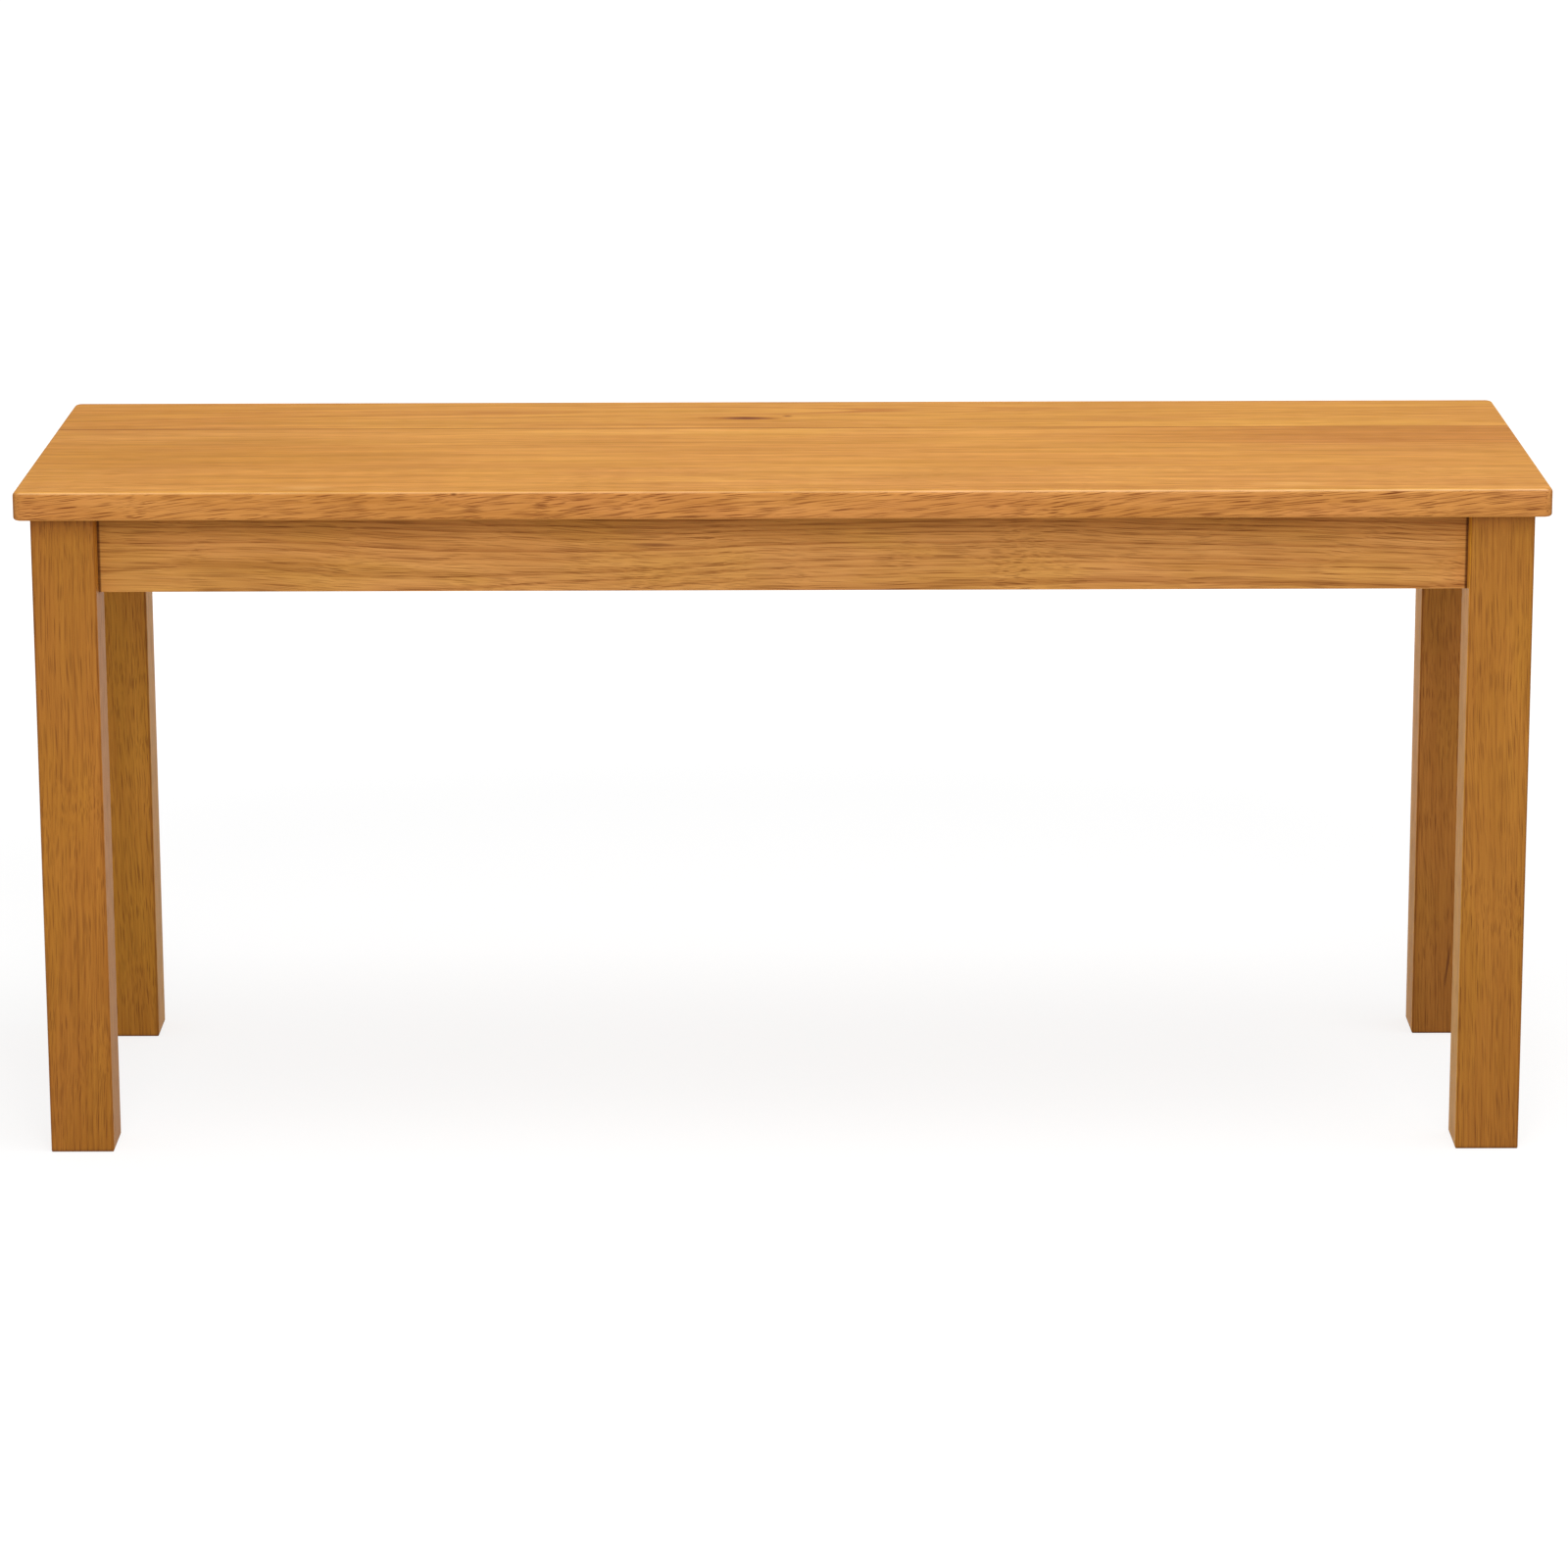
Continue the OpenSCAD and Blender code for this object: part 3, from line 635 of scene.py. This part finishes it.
apronLook = {
    **oakLook, "grain": "x", "pith": (0, 55, -38), "lean": (0, 0.012, 0.004), "slope": (0, 0, 0.01),
    "ringWidth": 2.8, "wander": 7, "sway": 6, "stretch": 1.7, "crowding": 0.45,
    "fineness": 1.9, "topFineness": 1.9,
    "lateWood": (206, 145, 74), "earlyWood": (164, 102, 44), "poreColour": (122, 68, 24),
    "ringContrast": 0.6, "bandContrast": 0.40, "topBands": 0.40, "fibreContrast": 0.5,
    "poreAmount": 0.95, "topPores": 0.4, "roughness": 0.60, "specular": 0.12,
    "wearAndHighlight": 0.5, "arrisWidth": 1.2, "arrisPatchy": 0.9, "wearAndHighlightTint": (1.15, 1.18, 1.25),
    "joints": [
        # a dark joint line at the leg, with painted shade in that corner
        {"axis": "X", "at": 0.4475, "width": 1.6, "tint": (0.30, 0.22, 0.14)},
        # painted shadow of the seat's overhang on the apron's top
        {"axis": "Z", "at": 0.431, "width": 29, "tint": (0.74, 0.70, 0.58)},
    ],
}

# the end aprons meet the legs across Y, and take the same painted seat shadow
endJointsAndShade = [{**apronLook["joints"][0], "axis": "Y", "at": 0.1175}, apronLook["joints"][1]]
aprons = {
    "apron_front": {
        "seed": 41, "lean": (0, 0.012, 0.018), "wander": 8,
        "marks": [
            {"centre": (-85, -146, 409.6), "size": (22, 5, 2), "strength": 0.7, "colour": (122, 66, 28)},
            # painted shade from the seat reaching further down the right half, and a painted lighter band
            # below it
            {"centre": (260, -146, 410), "size": (300, 10, 16), "strength": 0.75, "tint": (0.89, 0.90, 0.90)},
            {"centre": (270, -146, 388), "size": (280, 10, 11), "strength": 0.7, "tint": (1.05, 1.07, 1.16)},
            {"centre": (-340, -146, 391), "size": (230, 10, 14), "strength": 0.7, "tint": (0.94, 0.94, 0.90)},
            {"centre": (-20, -146, 405), "size": (260, 40, 40), "strength": 0.6, "tint": (0.93, 0.94, 0.95)},
        ],
    },
    "apron_rear": {"seed": 45},
    "apron_left": {"grain": "y", "seed": 48, "joints": endJointsAndShade},
    "apron_right": {"grain": "y", "seed": 52, "joints": endJointsAndShade},
    "centre_rail": {"grain": "y", "seed": 56, "pith": (0, 30, 60), "joints": []},
}

for node, own in aprons.items():
    oakPiece(node, {**apronLook, **own})
print("aprons and rail finished")


# Corner blocks and turn buttons are plain beech: pale, close-grained, with short dark rays

beechLook = {
    "pale": (206, 164, 118), "rosy": (188, 140, 98), "fleck": (140, 92, 58), "fleckAmount": 0.6,
    "bandStretch": (4, 160, 160), "fleckStretch": (520, 2600, 2600),
    "fibreStretch": (30, 1500, 1500), "bandLimits": (0.3, 0.7), "fleckLimits": (0.62, 0.72),
    "fibreContrast": 0.18, "fibreBase": 0.91, "endLimits": (0.55, 0.95), "endTint": (0.80, 0.76, 0.70),
    "fibreRoughness": 0.14, "roughness": 0.5, "specular": 0.3, "fleckHeight": -0.6, "relief": (0.3, 0.08),
    "seedShift": (1, 0.37, 0.73), "blockSeed": 1.7, "blockStep": 2.3, "buttonSeed": 11.3, "buttonStep": 1.9,
}


def beechPiece(node, turn, seed):
    look = beechLook
    material, tree = newMaterial("beech." + node)
    low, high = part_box(node)
    coords, place, endGrain = grainPlace(tree, turn, (low + high) / 2)
    shifted = vectorMath(tree, "ADD", place, tuple(share * seed for share in look["seedShift"]))
    band = noiseField(tree, shifted, look["bandStretch"], detail=2)["Fac"]
    fibre = noiseField(tree, shifted, look["fibreStretch"], detail=2)["Fac"]
    fleck = smoothStep(tree, noiseField(tree, shifted, look["fleckStretch"])["Fac"], *look["fleckLimits"])
    band = smoothStep(tree, band, *look["bandLimits"])
    colour = mixColour(tree, band, screenColour(*look["pale"]), screenColour(*look["rosy"]))
    colour = scaleVector(tree, colour, timesPlus(tree, fibre, look["fibreContrast"], look["fibreBase"]))
    fleckShade = times(tree, fleck, look["fleckAmount"])
    colour = mixColour(tree, fleckShade, colour, screenColour(*look["fleck"]))
    colour = tintColour(tree, smoothStep(tree, endGrain, *look["endLimits"]), colour, look["endTint"])
    height = timesPlus(tree, fleck, look["fleckHeight"], fibre)
    roughness = timesPlus(tree, fibre, look["fibreRoughness"], look["roughness"])
    constants = {"Specular IOR Level": look["specular"]}
    coatSurface(tree, colour, roughness, height, look["relief"], constants)
    dress(node, material)


# grain direction of each block in degrees round Z, along its long way across the corner
cornerBlocks = {
    "corner_block_front_left": -45, "corner_block_front_right": 45,
    "corner_block_rear_left": 45, "corner_block_rear_right": -45,
}
for count, (node, degrees) in enumerate(cornerBlocks.items()):
    turn = Matrix.Rotation(-math.radians(degrees), 3, "Z")
    beechPiece(node, turn, beechLook["blockSeed"] + beechLook["blockStep"] * count)

turnButtons = {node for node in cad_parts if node.startswith("button_")} - {"button_screws"}
for count, node in enumerate(sorted(turnButtons)):
    turn = grainTurns["x" if node in ("button_left", "button_right") else "y"]
    beechPiece(node, turn, beechLook["buttonSeed"] + beechLook["buttonStep"] * count)
print("corner blocks and turn buttons finished:", len(cornerBlocks) + len(turnButtons))


# Countersunk zinc-plated wood screws with a cross recess and a thread, made once and set at each head

screwLook = {
    "Shank Radius": 2.0 * mm, "Head Radius": 4.0 * mm, "Head Height": 2.8 * mm, "Rim Height": 0.5 * mm,
    "Rim Ease": 0.12 * mm, "Plain Share": 0.42, "Point Length": 5.0 * mm, "Tip Radius": 0.4 * mm,
    "Thread Pitch": 1.8 * mm, "Thread Depth": 0.55 * mm, "Recess Span": 4.6 * mm, "Recess Width": 1.1 * mm,
    "Recess Depth": 1.9 * mm,
}

# How finely a screw is divided, how its ridge starts and ends and how its recess narrows. Points of the CAD's
# screws this near each other are one, and this near an end they belong to it.
screwForm = {
    "bodySides": 28, "ridgeSides": 4, "stepsPerTurn": 18, "ridgeStart": 0.15, "ridgeEnd": 0.3,
    "recessTaper": -0.45, "sharpAngle": 30, "sameSpot": 0.001 * mm, "sameEnd": 0.1 * mm,
}


def pickByIndex(tree, index, values):
    node = addNode(tree, "GeometryNodeIndexSwitch", data_type="FLOAT")
    while len(node.index_switch_items) < len(values):
        node.index_switch_items.new()
    feed(tree, node.inputs[0], index)
    for count, value in enumerate(values):
        feed(tree, node.inputs[count + 1], value)
    return node.outputs[0]


def tubeAlong(tree, points, place, size, sides):
    # a chain of points, moved to their places and given a round section that may change along the way
    line = addNode(tree, "GeometryNodeMeshLine", {"Count": points}, mode="OFFSET").outputs[0]
    line = addNode(tree, "GeometryNodeSetPosition", {"Geometry": line, "Position": place}).outputs[0]
    curve = addNode(tree, "GeometryNodeMeshToCurve", {"Mesh": line}).outputs[0]
    sockets = {"Resolution": sides, "Radius": 1}
    section = addNode(tree, "GeometryNodeCurvePrimitiveCircle", sockets).outputs[0]
    sockets = {"Curve": curve, "Profile Curve": section, "Scale": size, "Fill Caps": True}
    return addNode(tree, "GeometryNodeCurveToMesh", sockets).outputs[0]


def recessBox(tree, size, depth):
    # a slot cutter that narrows as it goes down into the head
    box = addNode(tree, "GeometryNodeMeshCube", {"Size": size}).outputs[0]
    place = addNode(tree, "GeometryNodeInputPosition").outputs[0]
    down = reckon(tree, "MAXIMUM", reckon(tree, "DIVIDE", splitVector(tree, place)["Z"], depth), 0)
    narrow = timesPlus(tree, down, screwForm["recessTaper"], 1)
    tapered = vectorMath(tree, "MULTIPLY", place, joinVector(tree, narrow, narrow, 1))
    return addNode(tree, "GeometryNodeSetPosition", {"Geometry": box, "Position": tapered}).outputs[0]


def joinSolids(tree, operation, first, others):
    node = addNode(tree, "GeometryNodeMeshBoolean", operation=operation, solver="EXACT")
    solids = [first, *others] if operation == "UNION" else others
    if operation != "UNION":
        feed(tree, node.inputs["Mesh 1"], first)
    for solid in solids:
        tree.links.new(solid, node.inputs["Mesh 2"])
    return node.outputs["Mesh"]


def buildScrewTree():
    form = screwForm
    inputs = [("Heads", "NodeSocketGeometry", None), ("Screw Length", "NodeSocketFloat", 0.03)]
    inputs += [(name, "NodeSocketFloat", value) for name, value in screwLook.items()]
    inputs += [("Spin Seed", "NodeSocketInt", 7), ("Finish", "NodeSocketMaterial", None)]
    tree, given, made = newGroup("woodScrews", "GeometryNodeTree", inputs, [("Screws", "NodeSocketGeometry")])
    tree.is_modifier = True
    length, shank, depth = given["Screw Length"], given["Shank Radius"], given["Thread Depth"]
    head, tip, ease = given["Head Radius"], given["Tip Radius"], given["Rim Ease"]
    core = minus(tree, shank, depth)
    plainEnd = times(tree, length, given["Plain Share"])
    pointStart = minus(tree, length, given["Point Length"])

    # the turned body, from the head's face down to the point
    index = addNode(tree, "GeometryNodeInputIndex").outputs[0]
    heights = [
        0, ease, given["Rim Height"], given["Head Height"], plainEnd,
        reckon(tree, "ADD", plainEnd, depth), pointStart, length,
    ]
    radii = [minus(tree, head, ease), head, head, shank, shank, core, core, tip]
    spine = joinVector(tree, 0, 0, pickByIndex(tree, index, heights))
    body = tubeAlong(tree, len(heights), spine, pickByIndex(tree, index, radii), form["bodySides"])

    # the thread: a ridge that winds down the core and runs out along the point
    stepsPerTurn = form["stepsPerTurn"]
    threadLength = minus(tree, minus(tree, length, depth), plainEnd)
    turns = reckon(tree, "DIVIDE", threadLength, given["Thread Pitch"])
    steps = times(tree, turns, stepsPerTurn)
    share = reckon(tree, "DIVIDE", index, steps)
    height = timesPlus(tree, share, threadLength, plainEnd)
    angle = times(tree, index, 2 * math.pi / stepsPerTurn)
    toTip = reckon(tree, "DIVIDE", minus(tree, length, height), given["Point Length"])
    toTip = reckon(tree, "MINIMUM", toTip, 1)
    way = timesPlus(tree, minus(tree, core, tip), toTip, tip)
    x = times(tree, way, reckon(tree, "COSINE", angle))
    y = times(tree, way, reckon(tree, "SINE", angle))
    runIn = reckon(tree, "MINIMUM", timesPlus(tree, index, 1 / stepsPerTurn, form["ridgeStart"]), 1)
    runOut = timesPlus(tree, toTip, 1 - form["ridgeEnd"], form["ridgeEnd"])
    ridge = times(tree, depth, times(tree, runIn, runOut))
    thread = tubeAlong(tree, steps, joinVector(tree, x, y, height), ridge, form["ridgeSides"])

    solid = joinSolids(tree, "UNION", body, [thread])
    span, width, recess = given["Recess Span"], given["Recess Width"], given["Recess Depth"]
    depthBoth = times(tree, recess, 2)
    slots = [
        recessBox(tree, joinVector(tree, span, width, depthBoth), recess),
        recessBox(tree, joinVector(tree, width, span, depthBoth), recess),
    ]
    solid = joinSolids(tree, "DIFFERENCE", solid, slots)

    # one screw at each head, driven along its own way and stopped at its own turn
    sockets = {"Name": "screwWay"}
    way = addNode(tree, "GeometryNodeInputNamedAttribute", sockets, data_type="FLOAT_VECTOR").outputs[0]
    facing = addNode(tree, "FunctionNodeAlignRotationToVector", {"Vector": way}, axis="Z").outputs[0]
    spin = addNode(tree, "FunctionNodeRandomValue", data_type="FLOAT")
    feed(tree, spin.inputs[3], 2 * math.pi)
    feed(tree, spin.inputs[8], given["Spin Seed"])
    sockets = {"Axis": (0, 0, 1), "Angle": spin.outputs[1]}
    turned = addNode(tree, "FunctionNodeAxisAngleToRotation", sockets).outputs[0]
    sockets = {"Rotation": facing, "Rotate By": turned}
    facing = addNode(tree, "FunctionNodeRotateRotation", sockets, rotation_space="LOCAL").outputs[0]
    sockets = {"Points": given["Heads"], "Instance": solid, "Rotation": facing}
    placed = addNode(tree, "GeometryNodeInstanceOnPoints", sockets).outputs[0]
    real = addNode(tree, "GeometryNodeRealizeInstances", {"Geometry": placed}).outputs[0]
    sockets = {"Geometry": real, "Material": given["Finish"]}
    feed(tree, made["Screws"], addNode(tree, "GeometryNodeSetMaterial", sockets).outputs[0])
    return tree


zincLook = {
    "zinc": (198, 200, 204), "cloud": (160, 162, 164), "speck": (112, 110, 104), "speckAmount": 0.5,
    "cloudStretch": (420, 420, 420), "cloudLimits": (0.35, 0.65), "cloudRoughness": 0.25,
    "speckStretch": (2600, 2600, 2600), "speckLimits": (0.62, 0.74), "roughness": 0.22,
    "relief": (0.2, 0.03),
}


def zincMaterial():
    look = zincLook
    material, tree = newMaterial("zincSteel")
    place = addNode(tree, "ShaderNodeTexCoord").outputs["Object"]
    cloud = noiseField(tree, place, look["cloudStretch"], detail=3)["Fac"]
    speck = smoothStep(tree, noiseField(tree, place, look["speckStretch"])["Fac"], *look["speckLimits"])
    cloudShade = smoothStep(tree, cloud, *look["cloudLimits"])
    colour = mixColour(tree, cloudShade, screenColour(*look["zinc"]), screenColour(*look["cloud"]))
    speckShade = times(tree, speck, look["speckAmount"])
    colour = mixColour(tree, speckShade, colour, screenColour(*look["speck"]))
    roughness = timesPlus(tree, cloud, look["cloudRoughness"], look["roughness"])
    coatSurface(tree, colour, roughness, speck, look["relief"], {"Metallic": 1})
    return material


def screwPlaces(node):
    # each loose part of the CAD node is a screw: its axis, its head's middle and its length
    solid = bmesh.new()
    solid.from_mesh(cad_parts[node].data)
    bmesh.ops.remove_doubles(solid, verts=solid.verts, dist=screwForm["sameSpot"])
    left, places = set(solid.verts), []
    while left:
        island, edge = set(), [next(iter(left))]
        while edge:
            vertex = edge.pop()
            if vertex in island:
                continue
            island.add(vertex)
            edge += [link.other_vert(vertex) for link in vertex.link_edges]
        left -= island
        points = np.array([tuple(vertex.co) for vertex in island])
        middle = points.mean(axis=0)
        along = (points - middle) @ np.linalg.svd(points - middle, full_matrices=False)[2][0]
        sameEnd = screwForm["sameEnd"]
        ends = [points[along < along.min() + sameEnd], points[along > along.max() - sameEnd]]
        ends.sort(key=lambda end: -np.ptp(end, axis=0).max())
        head, tip = (Vector((end.min(axis=0) + end.max(axis=0)) / 2) for end in ends)
        places.append((head, (tip - head).normalized(), (tip - head).length))
    solid.free()
    return sorted(places, key=lambda place: tuple(round(value, 4) for value in place[0]))


def buildScrews(name, node, seed, tree, material):
    places = screwPlaces(node)
    heads = bpy.data.meshes.new(name + "Heads")
    heads.from_pydata([place[0] for place in places], [], [])
    ways = heads.attributes.new("screwWay", "FLOAT_VECTOR", "POINT")
    ways.data.foreach_set("vector", [value for place in places for value in place[1]])
    holder = addObject(name + "Heads", heads)
    modifier = holder.modifiers.new("screws", "NODES")
    modifier.node_group = tree
    sockets = {item.name: item.identifier for item in tree.interface.items_tree}
    length = places[0][2]
    values = {**screwLook, "Screw Length": length, "Spin Seed": seed, "Finish": material}
    for socketName, value in values.items():
        modifier[sockets[socketName]] = value
    evaluated = holder.evaluated_get(bpy.context.evaluated_depsgraph_get())
    mesh = bpy.data.meshes.new_from_object(evaluated)
    bpy.data.objects.remove(holder)
    mesh.name = name
    mesh.polygons.foreach_set("use_smooth", [True] * len(mesh.polygons))
    mesh.set_sharp_from_angle(angle=math.radians(screwForm["sharpAngle"]))
    screws = addObject(name, mesh)
    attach(screws, "root")
    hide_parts(node)
    faces = len(mesh.polygons)
    print(name + ":", len(places), "screws,", round(length / mm, 1), "mm long,", faces, "faces")


screwTree = buildScrewTree()
zincSteel = zincMaterial()
buildScrews("buttonScrews", "button_screws", 3, screwTree, zincSteel)
buildScrews("railScrews", "rail_screws", 5, screwTree, zincSteel)
buildScrews("blockScrews", "block_screws", 8, screwTree, zincSteel)


# A pale floor under a plain white surround

stageLook = {
    "floorSize": 60, "floorShade": 0.80, "seenShade": 0.26, "nearGlow": 0.80, "farGlow": 1,
    "nearReach": 0.8, "farReach": 1.8,
}


def seenDirectly(tree):
    rays = addNode(tree, "ShaderNodeLightPath").outputs
    seen = reckon(tree, "MAXIMUM", rays["Is Camera Ray"], rays["Is Glossy Ray"])
    return reckon(tree, "MAXIMUM", seen, rays["Is Transmission Ray"])


def buildFloor():
    look = stageLook
    half = look["floorSize"] / 2
    corners = [(-half, -half, 0), (half, -half, 0), (half, half, 0), (-half, half, 0)]
    mesh = bpy.data.meshes.new("floor")
    mesh.from_pydata(corners, [], [(0, 1, 2, 3)])
    floor = addObject("floor", mesh)
    material, tree = newMaterial("paleFloor")
    lit = addNode(tree, "ShaderNodeBsdfDiffuse", {"Color": (*[look["floorShade"]] * 3, 1)}).outputs[0]
    seen = addNode(tree, "ShaderNodeBsdfDiffuse", {"Color": (*[look["seenShade"]] * 3, 1)}).outputs[0]
    # the shadow shows near the bench and the floor runs out to plain white
    place = addNode(tree, "ShaderNodeTexCoord").outputs["Object"]
    away = smoothStep(tree, lengthOf(tree, place), look["nearReach"], look["farReach"])
    strength = timesPlus(tree, away, look["farGlow"] - look["nearGlow"], look["nearGlow"])
    glow = addNode(tree, "ShaderNodeEmission", {"Color": (1, 1, 1, 1), "Strength": strength}).outputs[0]
    pale = fillNode(tree, "ShaderNodeAddShader", [seen, glow])[0]
    upper = fillNode(tree, "ShaderNodeMixShader", [seenDirectly(tree), lit, pale])[0]
    # from below, the floor isn't there
    below = addNode(tree, "ShaderNodeNewGeometry").outputs["Backfacing"]
    clear = addNode(tree, "ShaderNodeBsdfTransparent").outputs[0]
    surface = fillNode(tree, "ShaderNodeMixShader", [below, upper, clear])[0]
    addNode(tree, "ShaderNodeOutputMaterial", {"Surface": surface})
    mesh.materials.append(material)


buildFloor()

# Soft studio light: a wide box high in front, a broad one overhead and an even surround
studioLook = {
    "surround": 0.42,
    "boxes": {
        "frontBox": {"place": (0.1, -3.25, 1.65), "aim": (0, 0, 0.3), "size": (1.8, 1.8), "power": 49.5},
        "topBox": {"place": (0.45, -0.5, 3), "aim": (0.05, 0, 0.4), "size": (2.2, 1.2), "power": 38.5},
    },
}


def buildLight():
    look = studioLook
    scene = bpy.context.scene
    world = bpy.data.worlds.new("surround")
    scene.world = world
    world.use_nodes = True
    tree = world.node_tree
    tree.nodes.clear()
    strength = addNode(tree, "ShaderNodeMix", data_type="FLOAT")
    feed(tree, strength.inputs[0], seenDirectly(tree))
    feed(tree, strength.inputs[2], look["surround"])
    feed(tree, strength.inputs[3], 1)
    sockets = {"Color": (1, 1, 1, 1), "Strength": strength.outputs[0]}
    background = addNode(tree, "ShaderNodeBackground", sockets).outputs[0]
    addNode(tree, "ShaderNodeOutputWorld", {"Surface": background})
    for name, box in look["boxes"].items():
        lamp = bpy.data.lights.new(name, "AREA")
        lamp.shape = "RECTANGLE"
        lamp.size, lamp.size_y = box["size"]
        lamp.energy = box["power"]
        holder = addObject(name, lamp)
        holder.location = box["place"]
        aim = Vector(box["aim"]) - Vector(box["place"])
        holder.rotation_euler = aim.to_track_quat("-Z", "Y").to_euler()
    scene.view_settings.view_transform = "Standard"


buildLight()

# The camera stands where the photograph's did, worked out from the bench's corners
cameraLook = {
    "place": (0.0104, -3.8238, 1.1381), "pitch": 0.2373, "yaw": -0.0027, "roll": -0.0032,
    "focalPixels": 5846.4, "imageWidth": 1600, "sensor": 36,
}


def buildCamera():
    look = cameraLook
    pitch, yaw, roll = look["pitch"], look["yaw"], look["roll"]
    forward = Vector((math.sin(yaw) * math.cos(pitch), math.cos(yaw) * math.cos(pitch), -math.sin(pitch)))
    level = Vector((math.cos(yaw), -math.sin(yaw), 0))
    up = level.cross(forward)
    right = math.cos(roll) * level + math.sin(roll) * up
    over = -math.sin(roll) * level + math.cos(roll) * up
    camera = bpy.data.cameras.new("camera")
    camera.sensor_width = look["sensor"]
    camera.lens = look["focalPixels"] * look["sensor"] / look["imageWidth"]
    holder = addObject("camera", camera)
    turn = Matrix((right, over, -forward)).transposed().to_4x4()
    holder.matrix_world = Matrix.Translation(look["place"]) @ turn
    bpy.context.scene.camera = holder


buildCamera()
print("stage, light and camera set")
